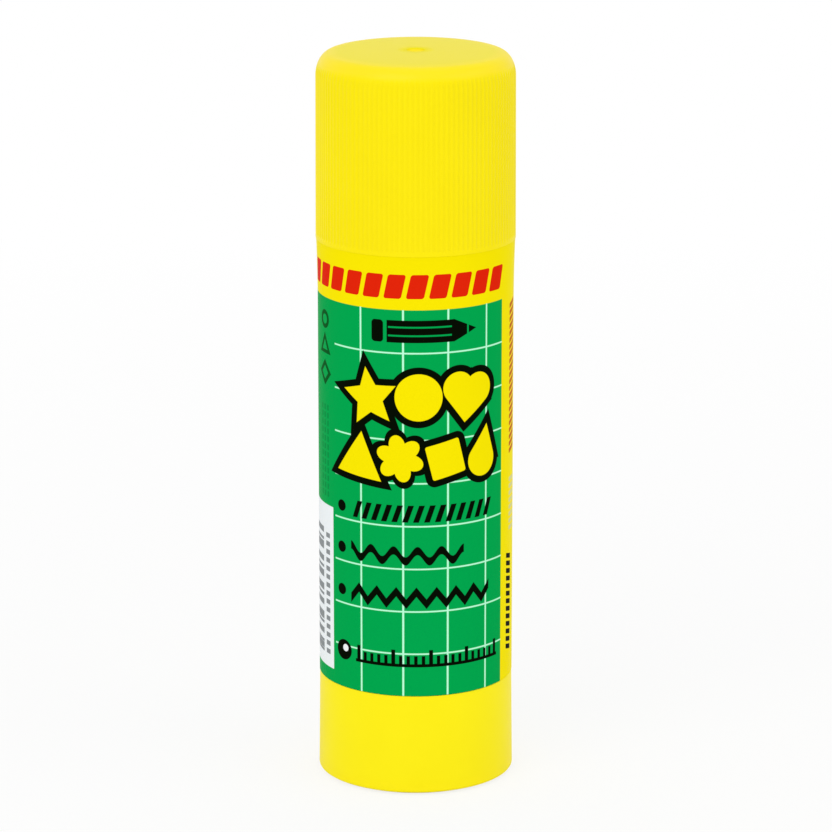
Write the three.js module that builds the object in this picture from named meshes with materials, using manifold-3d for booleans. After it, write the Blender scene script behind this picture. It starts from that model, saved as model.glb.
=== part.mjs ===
// A twist-up glue stick: a ribbed cap over the neck, a printed film round the barrel, and a turning
// base with the screw that lifts the glue. Millimetres, +Z up, the front faces -Y, and the origin
// is the middle of the foot. It is modelled closed and full, with the carrier at its lowest.
import * as THREE from "three";
import { mergeVertices } from "three/addons/utils/BufferGeometryUtils.js";
import Module from "manifold-3d";

const wasm = await Module();
wasm.setup();

// Film and barrel
const filmRadius = 13.5;
const filmThickness = 0.15;
const filmPlay = 0.05; // between the film and the barrel, and at the film's two ends
const filmSlit = 0.4; // where the film's edges meet, at the back
const barrelHeight = 61.8; // from the barrel's lower edge to its shoulder
const barrelEdge = 0.3;
const neckHeight = 14.1;
const neckWall = 1.15;
const neckEdge = 0.4;
const beadRise = 0.6; // half the height of a bead on the neck
const snapBeadUp = 3; // from the shoulder
const sealBeadDown = 2.2; // from the rim
const beadGap = 0.05;
const socketDepth = 5; // the barrel's open end, below its floor
const floorThickness = 1.4;
const guideRibs = 4;
const guideRibWidth = 1.4;
const guideRibDepth = 0.45;
const guideRibDown = 1.5; // from the rim

// Cap
const capHeight = 25.8;
const capOverhang = 0.25; // how far the cap's rim stands out past the film
const capDraft = 0.09; // how much narrower the cap is at its shoulder
const capWall = 1.28;
const capLeadIn = 0.3;
const crownThickness = 1.35;
const crownRise = 0.26;
const capShoulderDrop = 3.2;
const capShoulderReach = 2.1;
const capRibs = 120;
const capRibDepth = 0.16;
const plainRimHeight = 0.4;
const gateMarkRadius = 0.8;
const gateMarkDepth = 0.25;
const stopRibs = 8;
const stopRibWidth = 1;
const stopRibReach = 1.3; // how far a stop rib stands in from the cap's wall
const capSeam = 0.2;
const capNeckPlay = 0.3;

// Turning base
const baseHeight = 14.4;
const baseInset = 0.04; // at its top, under the film's outside
const baseFlare = 0.17; // how much wider it is at its lower corner
const baseCorner = 0.4;
const baseWall = 1.25;
const baseSeam = 0.18; // between the base and the barrel
const footRadius = 12.35;
const footWidth = 0.4;
const footHeight = 0.34;
const baseFloor = 1.4;
const baseDish = 0.8; // how far the underside inside the foot ring lies above the foot
const spigotWall = 0.9;
const spigotPlay = 0.3;
const spigotShort = 1; // below the barrel's floor
const hubRadius = 4.6;
const hubPlay = 0.2; // below the barrel's floor
const baseRibs = 8;
const baseRibWidth = 1;
const baseRibHeight = 6.8;

// Screw
const screwCore = 2;
const screwCrest = 2.9;
const screwStarts = 2;
const screwLead = 7.2; // how far the carrier climbs in one turn
const screwBelowRim = 4.5;
const screwTip = 1.2;
const flangeRadius = 5.2;
const flangeThickness = 1.2;
const flangePlay = 0.15;
const journalRadius = 3.3;
const journalPlay = 0.2;
const splineTeeth = 8;
const splineRadius = 2.9;
const splineDepth = 0.5;
const splinePlay = 0.1;
const splineUp = 1.2; // above the base's floor

// Carrier and glue
const carrierPlay = 0.2;
const carrierLift = 0.3; // above the screw's flange
const carrierFloor = 1.6;
const carrierWall = 1.1;
const skirtHeight = 6;
const wiperGroove = 0.2;
const nutRadius = 4.6;
const nutHeight = 9.4;
const nutPlay = 0.35;
const guidePlay = 0.25;
const gluePlay = 0.12;
const glueBelowRim = 1;
const glueDome = 0.5;
const glueEdge = 0.6;

// Roundness
const roundSides = 48; // every coaxial piece has as many, so that their sides face each other
const shoulderSteps = 5;
const cornerSteps = 3;
const screwSides = 12;
const screwStepsPerTurn = 12;
const screwFlank = 0.9; // how steeply the thread rises from its root: 0.5 is one smooth wave
const mergeDistance = 1e-5;
const overcut = 0.3; // how far a joined or cutting body runs past the face that it meets

// Radii worked out from the outside in
const barrelRadius = filmRadius - filmThickness - filmPlay;
const baseTopRadius = filmRadius - baseInset;
const baseLowRadius = baseTopRadius + baseFlare;
const capRimRadius = filmRadius + capOverhang;
const capTopRadius = capRimRadius - capDraft;
const capInnerRadius = capTopRadius - capWall + capDraft;
const neckRadius = capInnerRadius - capNeckPlay;
const beadRadius = capInnerRadius - beadGap;
const boreRadius = neckRadius - neckWall;
const skirtRadius = boreRadius - carrierPlay;
const glueRadius = boreRadius - gluePlay;
const spigotRadius = boreRadius - spigotPlay;

// Heights worked out from the foot up
const barrelLow = baseHeight + baseSeam;
const shoulder = barrelLow + barrelHeight;
const rim = shoulder + neckHeight;
const capLow = shoulder + capSeam;
const capTop = capLow + capHeight;
const crownEdge = capTop - crownRise;
const capShoulderLow = crownEdge - capShoulderDrop;
const crownInside = crownEdge - crownThickness;
const floorLow = barrelLow + socketDepth;
const floorTop = floorLow + floorThickness;
const baseInside = baseDish + baseFloor;
const hubTop = floorLow - hubPlay;
const spigotTop = floorLow - spigotShort;
const journalLow = hubTop + splinePlay;
const flangeLow = floorTop + flangePlay;
const flangeTop = flangeLow + flangeThickness;
const screwTop = rim - screwBelowRim;
const carrierLow = flangeTop + carrierLift;
const carrierTop = carrierLow + carrierFloor;
const skirtTop = carrierTop + skirtHeight;
const nutTop = carrierLow + nutHeight;
const glueTip = rim - glueBelowRim;

// Solids

function point(radius, height) {
  return new THREE.Vector2(radius, height);
}

// Part of an ellipse round (x, z), from one angle to another, counted from +X towards +Z.
function bend(x, z, reach, rise, fromAngle, toAngle, steps) {
  return Array.from({ length: steps + 1 }, (_, i) => {
    const angle = fromAngle + ((toAngle - fromAngle) * i) / steps;
    return point(x + reach * Math.cos(angle), z + rise * Math.sin(angle));
  });
}

// A closed mesh as a solid. Faces that a pole has drawn to a line are left out, and a mesh whose
// faces point inwards is turned round.
function solidOf(geometry) {
  const bare = geometry.clone();
  bare.deleteAttribute("normal");
  bare.deleteAttribute("uv");
  const whole = mergeVertices(bare, mergeDistance);
  const corners = whole.attributes.position;
  const [a, b, c] = [0, 0, 0].map(() => new THREE.Vector3());
  const faces = [];
  let volume = 0;
  for (let i = 0; i < whole.index.count; i += 3) {
    const face = [0, 1, 2].map((k) => whole.index.getX(i + k));
    if (new Set(face).size === 3) {
      [a, b, c].forEach((corner, k) => corner.fromBufferAttribute(corners, face[k]));
      volume += a.dot(b.clone().cross(c));
      faces.push(face);
    }
  }
  const outward = volume > 0 ? faces : faces.map((face) => face.toReversed());
  return new wasm.Manifold(
    new wasm.Mesh({
      numProp: 3,
      vertProperties: new Float32Array(corners.array),
      triVerts: new Uint32Array(outward.flat()),
    }),
  );
}

// A profile turned about Z. It starts and ends on the axis, or closes on itself.
function revolve(profile) {
  return solidOf(new THREE.LatheGeometry(profile, roundSides).rotateX(Math.PI / 2));
}

// An outline that stands upright from one height to another.
function prism(outline, low, high, steps = 1) {
  const geometry = new THREE.ExtrudeGeometry(new THREE.Shape(outline), {
    depth: high - low,
    steps,
    bevelEnabled: false,
  });
  return geometry.translate(0, 0, low);
}

// Upright walls that stand round the axis from one radius out to another.
function wallsAround(count, width, inner, outer, low, high) {
  return Array.from({ length: count }, (_, i) => {
    const wall = new THREE.BoxGeometry(outer - inner, width, high - low);
    wall.translate((inner + outer) / 2, 0, (low + high) / 2);
    return solidOf(wall.rotateZ((2 * Math.PI * i) / count));
  });
}

function joined(solid, others) {
  return others.reduce((whole, other) => whole.add(other), solid);
}

function cutBy(solid, others) {
  return others.reduce((whole, other) => whole.subtract(other), solid);
}

// An outline whose radius follows a rule of the angle.
function outlineOf(count, radiusAt) {
  return Array.from({ length: count }, (_, i) => {
    const angle = (2 * Math.PI * i) / count;
    const radius = radiusAt(angle, i);
    return point(radius * Math.cos(angle), radius * Math.sin(angle));
  });
}

// The screw's thread, or with some play the hole that runs on it. Its radius swells into as many
// ridges as the screw has starts, which wind as they rise. It is left-handed, so a base that turns
// clockwise, seen from below, lifts the carrier.
function threadBody(play, low, high) {
  const steps = Math.ceil(((high - low) / screwLead) * screwStepsPerTurn);
  const geometry = prism(outlineOf(screwSides, () => screwCrest), low, high, steps);
  const corners = geometry.attributes.position;
  for (let i = 0; i < corners.count; i += 1) {
    const angle = Math.atan2(corners.getY(i), corners.getX(i));
    const turned = angle + (2 * Math.PI * corners.getZ(i)) / screwLead;
    const ridge = THREE.MathUtils.clamp(0.5 + screwFlank * Math.cos(screwStarts * turned), 0, 1);
    const radius = screwCore + (screwCrest - screwCore) * ridge + play;
    corners.setXY(i, radius * Math.cos(angle), radius * Math.sin(angle));
  }
  return solidOf(geometry);
}

// The toothed section of the screw's tail, or with some play its socket in the base.
function splineOutline(play) {
  const cornersPerTooth = 4;
  return outlineOf(splineTeeth * cornersPerTooth, (_, i) => {
    const onTooth = i % cornersPerTooth < cornersPerTooth / 2;
    return splineRadius + play - (onTooth ? 0 : splineDepth);
  });
}

// A low bead round the neck, from below to above.
function bead(height) {
  return [
    point(neckRadius, height - beadRise),
    point(beadRadius, height - beadRise / 3),
    point(beadRadius, height + beadRise / 3),
    point(neckRadius, height + beadRise),
  ];
}

// Sub-parts

function cap() {
  const rootRadius = capTopRadius - capRibDepth - overcut / 2;
  const ribLow = capLow + plainRimHeight;
  const shell = revolve([
    point(0, capTop - gateMarkDepth),
    point(gateMarkRadius, capTop - gateMarkDepth),
    point(gateMarkRadius, capTop),
    ...bend(capTopRadius - capShoulderReach, capShoulderLow, capShoulderReach, capShoulderDrop,
      Math.PI / 2, 0, shoulderSteps),
    point(rootRadius, capShoulderLow),
    point(rootRadius, ribLow),
    point(capRimRadius, ribLow),
    point(capRimRadius, capLow),
    point(capInnerRadius + capLeadIn, capLow),
    point(capInnerRadius, capLow + 2 * capLeadIn),
    point(capInnerRadius, crownInside - capShoulderReach),
    point(capInnerRadius - capShoulderReach, crownInside),
    point(0, crownInside),
  ]);
  const stops = wallsAround(stopRibs, stopRibWidth, capInnerRadius - stopRibReach,
    capInnerRadius + overcut, rim + capSeam, crownInside + overcut);
  return joined(shell, [ribBand(ribLow, capShoulderLow), ...stops]);
}

// The cap's fine ribs: a ring whose outside is toothed all round, and which widens downwards.
function ribBand(low, high) {
  const teeth = outlineOf(2 * capRibs, (_, i) => capTopRadius - (i % 2 ? capRibDepth : 0));
  const inside = outlineOf(roundSides, () => capTopRadius - capWall / 2);
  const ring = prism(teeth, low - overcut / 2, high + overcut / 2);
  const corners = ring.attributes.position;
  for (let i = 0; i < corners.count; i += 1) {
    const widening = 1 + ((capDraft / capTopRadius) * (high - corners.getZ(i))) / (high - low);
    corners.setXY(i, widening * corners.getX(i), widening * corners.getY(i));
  }
  const hollow = solidOf(prism(inside, low - overcut, high + overcut));
  return solidOf(ring).subtract(hollow);
}

function label() {
  const halfSlit = Math.asin(filmSlit / 2 / filmRadius);
  const back = Math.PI / 2;
  const sweep = 2 * (Math.PI - halfSlit);
  const along = (radius) => Array.from({ length: roundSides + 1 }, (_, i) => {
    const angle = back + halfSlit + (sweep * i) / roundSides;
    return point(radius * Math.cos(angle), radius * Math.sin(angle));
  });
  const outline = [...along(filmRadius), ...along(filmRadius - filmThickness).toReversed()];
  return solidOf(prism(outline, barrelLow + filmPlay, shoulder - filmPlay));
}

function barrel() {
  const tube = revolve([
    point(boreRadius, barrelLow),
    point(barrelRadius - barrelEdge, barrelLow),
    point(barrelRadius, barrelLow + barrelEdge),
    point(barrelRadius, shoulder - barrelEdge),
    point(barrelRadius - barrelEdge, shoulder),
    point(neckRadius, shoulder),
    ...bead(shoulder + snapBeadUp),
    ...bead(rim - sealBeadDown),
    point(neckRadius, rim - neckEdge),
    point(neckRadius - neckEdge, rim),
    point(boreRadius, rim),
    point(boreRadius, floorTop),
    point(journalRadius + journalPlay, floorTop),
    point(journalRadius + journalPlay, floorLow),
    point(boreRadius, floorLow),
    point(boreRadius, barrelLow),
  ]);
  const guides = wallsAround(guideRibs, guideRibWidth, boreRadius - guideRibDepth,
    boreRadius + overcut, floorTop - overcut, rim - guideRibDown);
  return joined(tube, guides);
}

function turningBase() {
  const footInner = footRadius - footWidth / 2;
  const footOuter = footRadius + footWidth / 2;
  const wallInner = baseTopRadius - baseWall;
  const shell = revolve([
    point(0, baseDish),
    point(footInner - footHeight, baseDish),
    point(footInner, 0),
    point(footOuter, 0),
    point(footOuter + footHeight / 3, footHeight),
    ...bend(baseLowRadius - baseCorner, footHeight + baseCorner, baseCorner, baseCorner,
      -Math.PI / 2, 0, cornerSteps),
    point(baseTopRadius, baseHeight - barrelEdge / 2),
    point(baseTopRadius - barrelEdge / 2, baseHeight),
    point(wallInner, baseHeight),
    point(wallInner, baseInside),
    point(spigotRadius, baseInside),
    point(spigotRadius, spigotTop - barrelEdge),
    point(spigotRadius - barrelEdge, spigotTop),
    point(spigotRadius - spigotWall, spigotTop),
    point(spigotRadius - spigotWall, baseInside),
    point(hubRadius, baseInside),
    point(hubRadius, hubTop),
    point(0, hubTop),
  ]);
  const ribs = wallsAround(baseRibs, baseRibWidth, hubRadius - overcut, wallInner + overcut,
    baseInside - overcut, baseInside + baseRibHeight);
  const socket = solidOf(prism(splineOutline(splinePlay), baseInside + splineUp - splinePlay,
    hubTop + overcut));
  return joined(shell, ribs).subtract(socket);
}

function screwSpindle() {
  const seat = revolve([
    point(0, journalLow),
    point(journalRadius, journalLow),
    point(journalRadius, flangeLow),
    point(flangeRadius, flangeLow),
    point(flangeRadius, flangeTop),
    point(0, flangeTop),
  ]);
  const pointed = revolve([
    point(0, flangeTop - overcut),
    point(2 * screwCrest, flangeTop - overcut),
    point(2 * screwCrest, screwTop - 2 * screwCrest),
    point(screwCrest - screwTip, screwTop),
    point(0, screwTop),
  ]);
  const thread = threadBody(0, flangeTop - 2 * overcut, screwTop + overcut).intersect(pointed);
  const tail = solidOf(prism(splineOutline(0), baseInside + splineUp, journalLow + overcut));
  return joined(seat, [thread, tail]);
}

function glueCarrier() {
  const middle = (carrierLow + skirtTop) / 2;
  const cup = revolve([
    point(0, carrierLow),
    point(skirtRadius, carrierLow),
    point(skirtRadius, middle - carrierFloor),
    point(skirtRadius - wiperGroove, middle - carrierFloor + wiperGroove),
    point(skirtRadius - wiperGroove, middle + carrierFloor - wiperGroove),
    point(skirtRadius, middle + carrierFloor),
    point(skirtRadius, skirtTop),
    point(skirtRadius - carrierWall, skirtTop),
    point(skirtRadius - carrierWall, carrierTop),
    point(nutRadius, carrierTop),
    point(nutRadius, nutTop),
    point(0, nutTop),
  ]);
  return cutBy(cup, [
    threadBody(nutPlay, carrierLow - overcut, nutTop + overcut),
    ...guideNotches(carrierLow - overcut, skirtTop + overcut),
  ]);
}

function glueStick() {
  const stick = revolve([
    point(nutRadius + gluePlay, carrierTop + gluePlay),
    point(skirtRadius - carrierWall - gluePlay, carrierTop + gluePlay),
    point(skirtRadius - carrierWall - gluePlay, skirtTop + gluePlay),
    point(glueRadius, skirtTop + gluePlay),
    point(glueRadius, glueTip - glueEdge),
    point(glueRadius - glueEdge, glueTip - glueDome / 2),
    point(glueRadius / 2, glueTip - glueDome / 8),
    point(0, glueTip),
    point(0, screwTop + nutPlay),
    point(screwCrest + nutPlay, screwTop + nutPlay),
    point(screwCrest + nutPlay, nutTop + gluePlay),
    point(nutRadius + gluePlay, nutTop + gluePlay),
    point(nutRadius + gluePlay, carrierTop + gluePlay),
  ]);
  return cutBy(stick, guideNotches(carrierTop, glueTip + overcut));
}

// The grooves that run on the barrel's guide ribs.
function guideNotches(low, high) {
  return wallsAround(guideRibs, guideRibWidth + 2 * guidePlay,
    boreRadius - guideRibDepth - guidePlay, boreRadius + overcut, low, high);
}

// Materials

function yellowPlastic() {
  return new THREE.MeshStandardMaterial({ color: 0xfae616, roughness: 0.36, metalness: 0 });
}

function printedFilm() {
  return new THREE.MeshStandardMaterial({ color: 0x00a34c, roughness: 0.3, metalness: 0 });
}

function whitePlastic() {
  return new THREE.MeshStandardMaterial({ color: 0xf2f1ea, roughness: 0.42, metalness: 0 });
}

function paleGlue() {
  return new THREE.MeshStandardMaterial({ color: 0xf4f2e6, roughness: 0.55, metalness: 0 });
}

// Assembly

function piece(name, solid, material) {
  const { vertProperties, triVerts } = solid.getMesh();
  const geometry = new THREE.BufferGeometry();
  geometry.setAttribute("position", new THREE.BufferAttribute(vertProperties, 3));
  geometry.setIndex(new THREE.BufferAttribute(triVerts, 1));
  geometry.computeVertexNormals();
  const mesh = new THREE.Mesh(geometry, material);
  mesh.name = name;
  return mesh;
}

const glueStickAssembly = new THREE.Group();
glueStickAssembly.add(
  piece("barrel", barrel(), yellowPlastic()),
  piece("label", label(), printedFilm()),
  piece("cap", cap(), yellowPlastic()),
  piece("turning_base", turningBase(), yellowPlastic()),
  piece("screw_spindle", screwSpindle(), whitePlastic()),
  piece("glue_carrier", glueCarrier(), whitePlastic()),
  piece("glue_stick", glueStick(), paleGlue()),
);

export default glueStickAssembly;
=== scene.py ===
import math

import bpy
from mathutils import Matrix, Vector


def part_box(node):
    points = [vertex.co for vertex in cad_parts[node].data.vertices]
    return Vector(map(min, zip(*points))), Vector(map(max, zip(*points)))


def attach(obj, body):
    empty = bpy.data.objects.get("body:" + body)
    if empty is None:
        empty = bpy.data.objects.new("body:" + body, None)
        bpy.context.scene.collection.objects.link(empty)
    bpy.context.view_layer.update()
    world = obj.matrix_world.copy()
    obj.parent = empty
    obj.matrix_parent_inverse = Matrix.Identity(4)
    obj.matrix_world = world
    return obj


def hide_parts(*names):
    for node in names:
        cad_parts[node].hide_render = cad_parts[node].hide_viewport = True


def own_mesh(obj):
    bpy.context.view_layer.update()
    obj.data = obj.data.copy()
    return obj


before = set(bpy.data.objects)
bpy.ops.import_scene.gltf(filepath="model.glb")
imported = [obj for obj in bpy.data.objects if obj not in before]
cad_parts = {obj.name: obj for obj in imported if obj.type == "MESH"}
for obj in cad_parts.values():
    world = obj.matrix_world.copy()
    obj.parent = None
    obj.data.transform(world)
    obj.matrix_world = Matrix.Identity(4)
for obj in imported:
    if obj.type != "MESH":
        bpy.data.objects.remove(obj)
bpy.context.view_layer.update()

# A twist-up glue stick, dressed round its solids. Sizes are in millimetres and heights are above
# the foot, unless a name says otherwise. Azimuths on the film are in degrees from its front.
scene = bpy.context.scene
mm = 0.001
sharpEdge = math.radians(42)
nearAxis = 1e-6
partOfEdge = 0.49  # the most of an edge that one rounding takes
sunk = 0.3  # how far a wall reaches into what carries it


def heights(node):
    low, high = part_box(node)
    return low.z / mm, high.z / mm


def reach(node):
    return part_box(node)[1].x / mm


capLow, capTop = heights("cap")
filmLow, filmTop = heights("label")
barrelLow, rim = heights("barrel")
hubTop = heights("turning_base")[1]
carrierLow, nutTop = heights("glue_carrier")
glueLow, glueTip = heights("glue_stick")
screwLow, screwTop = heights("screw_spindle")
filmRadius = reach("label")


# An operation on two values, of which the first or, in the reflected form, the second is a wire.
def operator(operation):
    def plain(self, other):
        return self.graph.math(operation, self, other)

    def reflected(self, other):
        return self.graph.math(operation, other, self)

    return plain, reflected


# Nodes by arithmetic: a wire is an output socket, and sums and products of wires add Math nodes.
class Wire:
    def __init__(self, graph, socket):
        self.graph = graph
        self.socket = socket

    def math(self, operation, *others):
        return self.graph.math(operation, self, *others)

    __add__, __radd__ = operator("ADD")
    __sub__, __rsub__ = operator("SUBTRACT")
    __mul__, __rmul__ = operator("MULTIPLY")
    __truediv__, __rtruediv__ = operator("DIVIDE")
    __gt__, __lt__ = operator("GREATER_THAN")[0], operator("LESS_THAN")[0]
    least, most = operator("MINIMUM")[0], operator("MAXIMUM")[0]

    def __neg__(self):
        return self * -1

    def __abs__(self):
        return self.math("ABSOLUTE")

    def cos(self):
        return self.math("COSINE")

    def sin(self):
        return self.math("SINE")

    def clamped(self):
        return self.least(1).most(0)

    # Folds the value into one step of a repeat, centred on 0.
    def folded(self, step):
        return (self / step + 0.5).math("FRACT") * step - step / 2


def length(x, y):
    return (x * x + y * y).math("SQRT")


class Graph:
    def __init__(self, tree):
        self.tree = tree

    # One node: its type, its settings, which are set first, and what goes into its sockets.
    def add(self, kind, settings=None, values=None, output=0):
        node = self.tree.nodes.new(kind)
        for key, value in (settings or {}).items():
            setattr(node, key, value)
        for key, value in (values or {}).items():
            if isinstance(value, Wire):
                self.tree.links.new(value.socket, node.inputs[key])
            else:
                node.inputs[key].default_value = value
        return Wire(self, node.outputs[output]) if node.outputs else None

    def math(self, operation, *values):
        return self.add("ShaderNodeMath", {"operation": operation}, dict(enumerate(values)))

    def more(self, wire, output):
        return Wire(self, wire.socket.node.outputs[output])

    # A vector's x, y and z, and its distance from the axis.
    def split(self, vector):
        x = self.add("ShaderNodeSeparateXYZ", {}, {"Vector": vector})
        y, z = self.more(x, "Y"), self.more(x, "Z")
        return x, y, z, length(x, y)

    def vector(self, **parts):
        return self.add("ShaderNodeCombineXYZ", {}, parts)

    def scaled(self, vector, scale):
        return self.add("ShaderNodeVectorMath", {"operation": "SCALE"}, {0: vector, "Scale": scale})

    def stretched(self, vector, scale):
        return self.add("ShaderNodeMapping", {}, {"Vector": vector, "Scale": scale})

    # On a Mix node, sockets 6 and 7 and output 2 are the ones for colours.
    def mix(self, share, first, second, blend="MIX"):
        settings = {"data_type": "RGBA", "blend_type": blend, "clamp_factor": True}
        first, second = (item if isinstance(item, Wire) else (*item, 1) for item in (first, second))
        return self.add("ShaderNodeMix", settings, {0: share, 6: first, 7: second}, 2)

    def noise(self, vector, scale, detail=2, roughness=0.5):
        values = {"Vector": vector, "Scale": scale, "Detail": detail, "Roughness": roughness}
        return self.add("ShaderNodeTexNoise", {}, values)


def emptied(owner):
    owner.use_nodes = True
    owner.node_tree.nodes.clear()
    return Graph(owner.node_tree)


def newMaterial(name):
    material = bpy.data.materials.new(name)
    return material, emptied(material)


# The object's place in millimetres.
def placeInMm(graph):
    return graph.scaled(graph.add("ShaderNodeTexCoord", {}, {}, "Object"), 1 / mm)


# Ends a material. The height of its relief is in millimetres.
def surfaceOf(material, graph, height, values):
    relief = graph.add("ShaderNodeBump", {}, {"Height": height, "Distance": mm, "Strength": 1})
    shader = graph.add("ShaderNodeBsdfPrincipled", {}, {"Normal": relief, **values})
    graph.add("ShaderNodeOutputMaterial", {}, {"Surface": shader})
    return material


def placed(name, data):
    thing = bpy.data.objects.new(name, data)
    scene.collection.objects.link(thing)
    return thing


# Meshes

# Rounds the corners of a profile. A corner is radius, height and the rounding at it.
def rounded(corners, steps=4, closed=False):
    points = []
    for i, (x, z, rounding) in enumerate(corners):
        here = Vector((x, z))
        isEnd = not closed and i in (0, len(corners) - 1)
        if rounding == 0 or isEnd:
            points.append(here)
            continue
        before = Vector(corners[i - 1][:2]) - here
        after = Vector(corners[(i + 1) % len(corners)][:2]) - here
        half = before.angle(after) / 2
        most = partOfEdge * before.length, partOfEdge * after.length
        cut = min(rounding / math.tan(half), *most)
        before, after = before.normalized(), after.normalized()
        centre = here + (before + after).normalized() * (cut / math.cos(half))
        start, end = here + before * cut - centre, here + after * cut - centre
        turn = start.angle_signed(end)
        for k in range(steps + 1):
            angle = turn * k / steps
            c, s = math.cos(angle), math.sin(angle)
            points.append(centre + Vector((start.x * c + start.y * s, start.y * c - start.x * s)))
    return points


def arc(x, z, reachX, reachZ, fromDegrees, toDegrees, steps):
    for k in range(steps + 1):
        angle = math.radians(fromDegrees + (toDegrees - fromDegrees) * k / steps)
        yield x + reachX * math.cos(angle), z + reachZ * math.sin(angle), 0


def asPiece(name, vertices, faces):
    mesh = bpy.data.meshes.new(name)
    mesh.from_pydata(vertices, [], faces)
    mesh.validate()
    return placed(name, mesh)


# Turns a profile about Z. It runs anticlockwise seen with the radius to the right and the height
# up, so that its faces point out. It starts and ends on the axis, or closes on itself.
def turned(name, points, sides, closed=False):
    vertices, rings = [], []
    for x, z in points:
        if x < nearAxis:
            rings.append([len(vertices)] * sides)
            vertices.append((0, 0, z * mm))
            continue
        rings.append(list(range(len(vertices), len(vertices) + sides)))
        for k in range(sides):
            angle = 2 * math.pi * k / sides
            vertices.append((x * mm * math.sin(angle), -x * mm * math.cos(angle), z * mm))
    faces = []
    following = rings[1:] + rings[:1] if closed else rings[1:]
    for low, high in zip(rings, following):
        for k in range(sides):
            n = (k + 1) % sides
            corners = list(dict.fromkeys((low[k], low[n], high[n], high[k])))
            if len(corners) > 2:
                faces.append(corners)
    return asPiece(name, vertices, faces)


def smoothed(piece):
    piece.data.shade_smooth()
    piece.data.set_sharp_from_angle(angle=sharpEdge)
    return piece


# Geometry Nodes

def newTree(name, numbers, **others):
    inputs = {**dict.fromkeys(numbers, "Float"), **others, "Material": "Material"}
    tree = bpy.data.node_groups.new(name, "GeometryNodeTree")
    tree.interface.new_socket("Geometry", in_out="OUTPUT", socket_type="NodeSocketGeometry")
    tree.interface.new_socket("Geometry", in_out="INPUT", socket_type="NodeSocketGeometry")
    for label, kind in inputs.items():
        tree.interface.new_socket(label, in_out="INPUT", socket_type="NodeSocket" + kind)
    graph = Graph(tree)
    entry = graph.add("NodeGroupInput").socket.node
    return tree, graph, {item.name: Wire(graph, item) for item in entry.outputs if item.name}


def endTree(graph, geometry, material):
    real = graph.add("GeometryNodeRealizeInstances", {}, {"Geometry": geometry})
    painted = graph.add("GeometryNodeSetMaterial", {}, {"Geometry": real, "Material": material})
    graph.add("NodeGroupOutput", {}, {"Geometry": painted})


# Runs a tree on a piece, and keeps the result as the piece's own plain mesh.
def shapedBy(piece, tree, values):
    step = piece.modifiers.new(tree.name, "NODES")
    step.node_group = tree
    for item in tree.interface.items_tree:
        if item.in_out == "INPUT" and item.name in values:
            step[item.identifier] = values[item.name]
    ready = piece.evaluated_get(bpy.context.evaluated_depsgraph_get())
    mesh = bpy.data.meshes.new_from_object(ready)
    piece.modifiers.remove(step)
    plain, piece.data = piece.data, mesh
    bpy.data.meshes.remove(plain)
    mesh.name = piece.name


# Ridges that wind round the axis, or stand upright: the surface is drawn in between them. They run
# out at their ends, and leave what lies inside a radius alone.
def ridgeTree():
    tree, graph, given = newTree("windingRidges", (
        "Ridges", "Turned", "Turns Per Metre", "Power", "Steepness", "Root", "Depth", "Low", "High",
        "Run Out Below", "Run Out Above", "Inner Limit",
    ))
    x, y, z, radius = graph.split(graph.add("GeometryNodeInputPosition"))
    turn = y.math("ARCTAN2", x) / (2 * math.pi) + z * given["Turns Per Metre"] + given["Turned"]
    wave = abs((turn * given["Ridges"] * math.pi).cos()).math("POWER", given["Power"])
    ridge = ((wave - given["Root"]) * given["Steepness"]).clamped()
    below = (z - given["Low"]) / given["Run Out Below"]
    ends = below.least((given["High"] - z) / given["Run Out Above"])
    drawn = (1 - ridge) * ends.clamped() * given["Depth"]
    drawn = drawn.least((radius - given["Inner Limit"]).most(0))
    flat = graph.vector(X=x, Y=y)
    inward = graph.scaled(flat, -drawn / radius.most(mm))  # no division by 0 on the axis
    moved = graph.add("GeometryNodeSetPosition", {},
                      {"Geometry": given["Geometry"], "Offset": inward})
    endTree(graph, moved, given["Material"])
    return tree


# Upright walls with soft edges, evenly round the axis, joined to what the tree is given.
def wallTree():
    numbers = "Width", "Inner", "Outer", "Low", "High", "Edge"
    tree, graph, given = newTree("wallsAround", numbers, Count="Int")
    middle = (given["Low"] + given["High"]) / 2
    start = graph.vector(X=given["Inner"], Z=middle)
    end = graph.vector(X=given["Outer"], Z=middle)
    path = graph.add("GeometryNodeCurvePrimitiveLine", {"mode": "POINTS"},
                     {"Start": start, "End": end})
    section = graph.add("GeometryNodeCurvePrimitiveQuadrilateral", {"mode": "RECTANGLE"},
                        {"Width": given["Width"], "Height": given["High"] - given["Low"]})
    soft = graph.add("GeometryNodeFilletCurve", {"mode": "POLY"},
                     {"Curve": section, "Count": 4, "Radius": given["Edge"], "Limit Radius": True})
    wall = graph.add("GeometryNodeCurveToMesh", {},
                     {"Curve": path, "Profile Curve": soft, "Fill Caps": True})
    spots = graph.add("GeometryNodePoints", {}, {"Count": given["Count"]})
    index = graph.add("GeometryNodeInputIndex")
    turn = graph.vector(Z=index * (2 * math.pi) / given["Count"])
    walls = graph.add("GeometryNodeInstanceOnPoints", {},
                      {"Points": spots, "Instance": wall, "Rotation": turn})
    both = graph.add("GeometryNodeJoinGeometry", {}, {"Geometry": walls})
    graph.tree.links.new(given["Geometry"].socket, both.socket.node.inputs["Geometry"])
    endTree(graph, both, given["Material"])
    return tree


windingRidges = ridgeTree()
wallsAround = wallTree()


def inMetres(sizes):
    return {key: value * mm for key, value in sizes.items()}


def ridged(piece, material, shares, lengths):
    shapedBy(piece, windingRidges, {"Material": material, **shares, **inMetres(lengths)})


def walled(piece, material, walls, inner, outer, low, high):
    lengths = {"Width": walls["width"], "Edge": walls["edge"], "Inner": inner, "Outer": outer,
               "Low": low, "High": high}
    shapedBy(piece, wallsAround,
             {"Material": material, "Count": walls["count"], **inMetres(lengths)})


# Finishes

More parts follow.
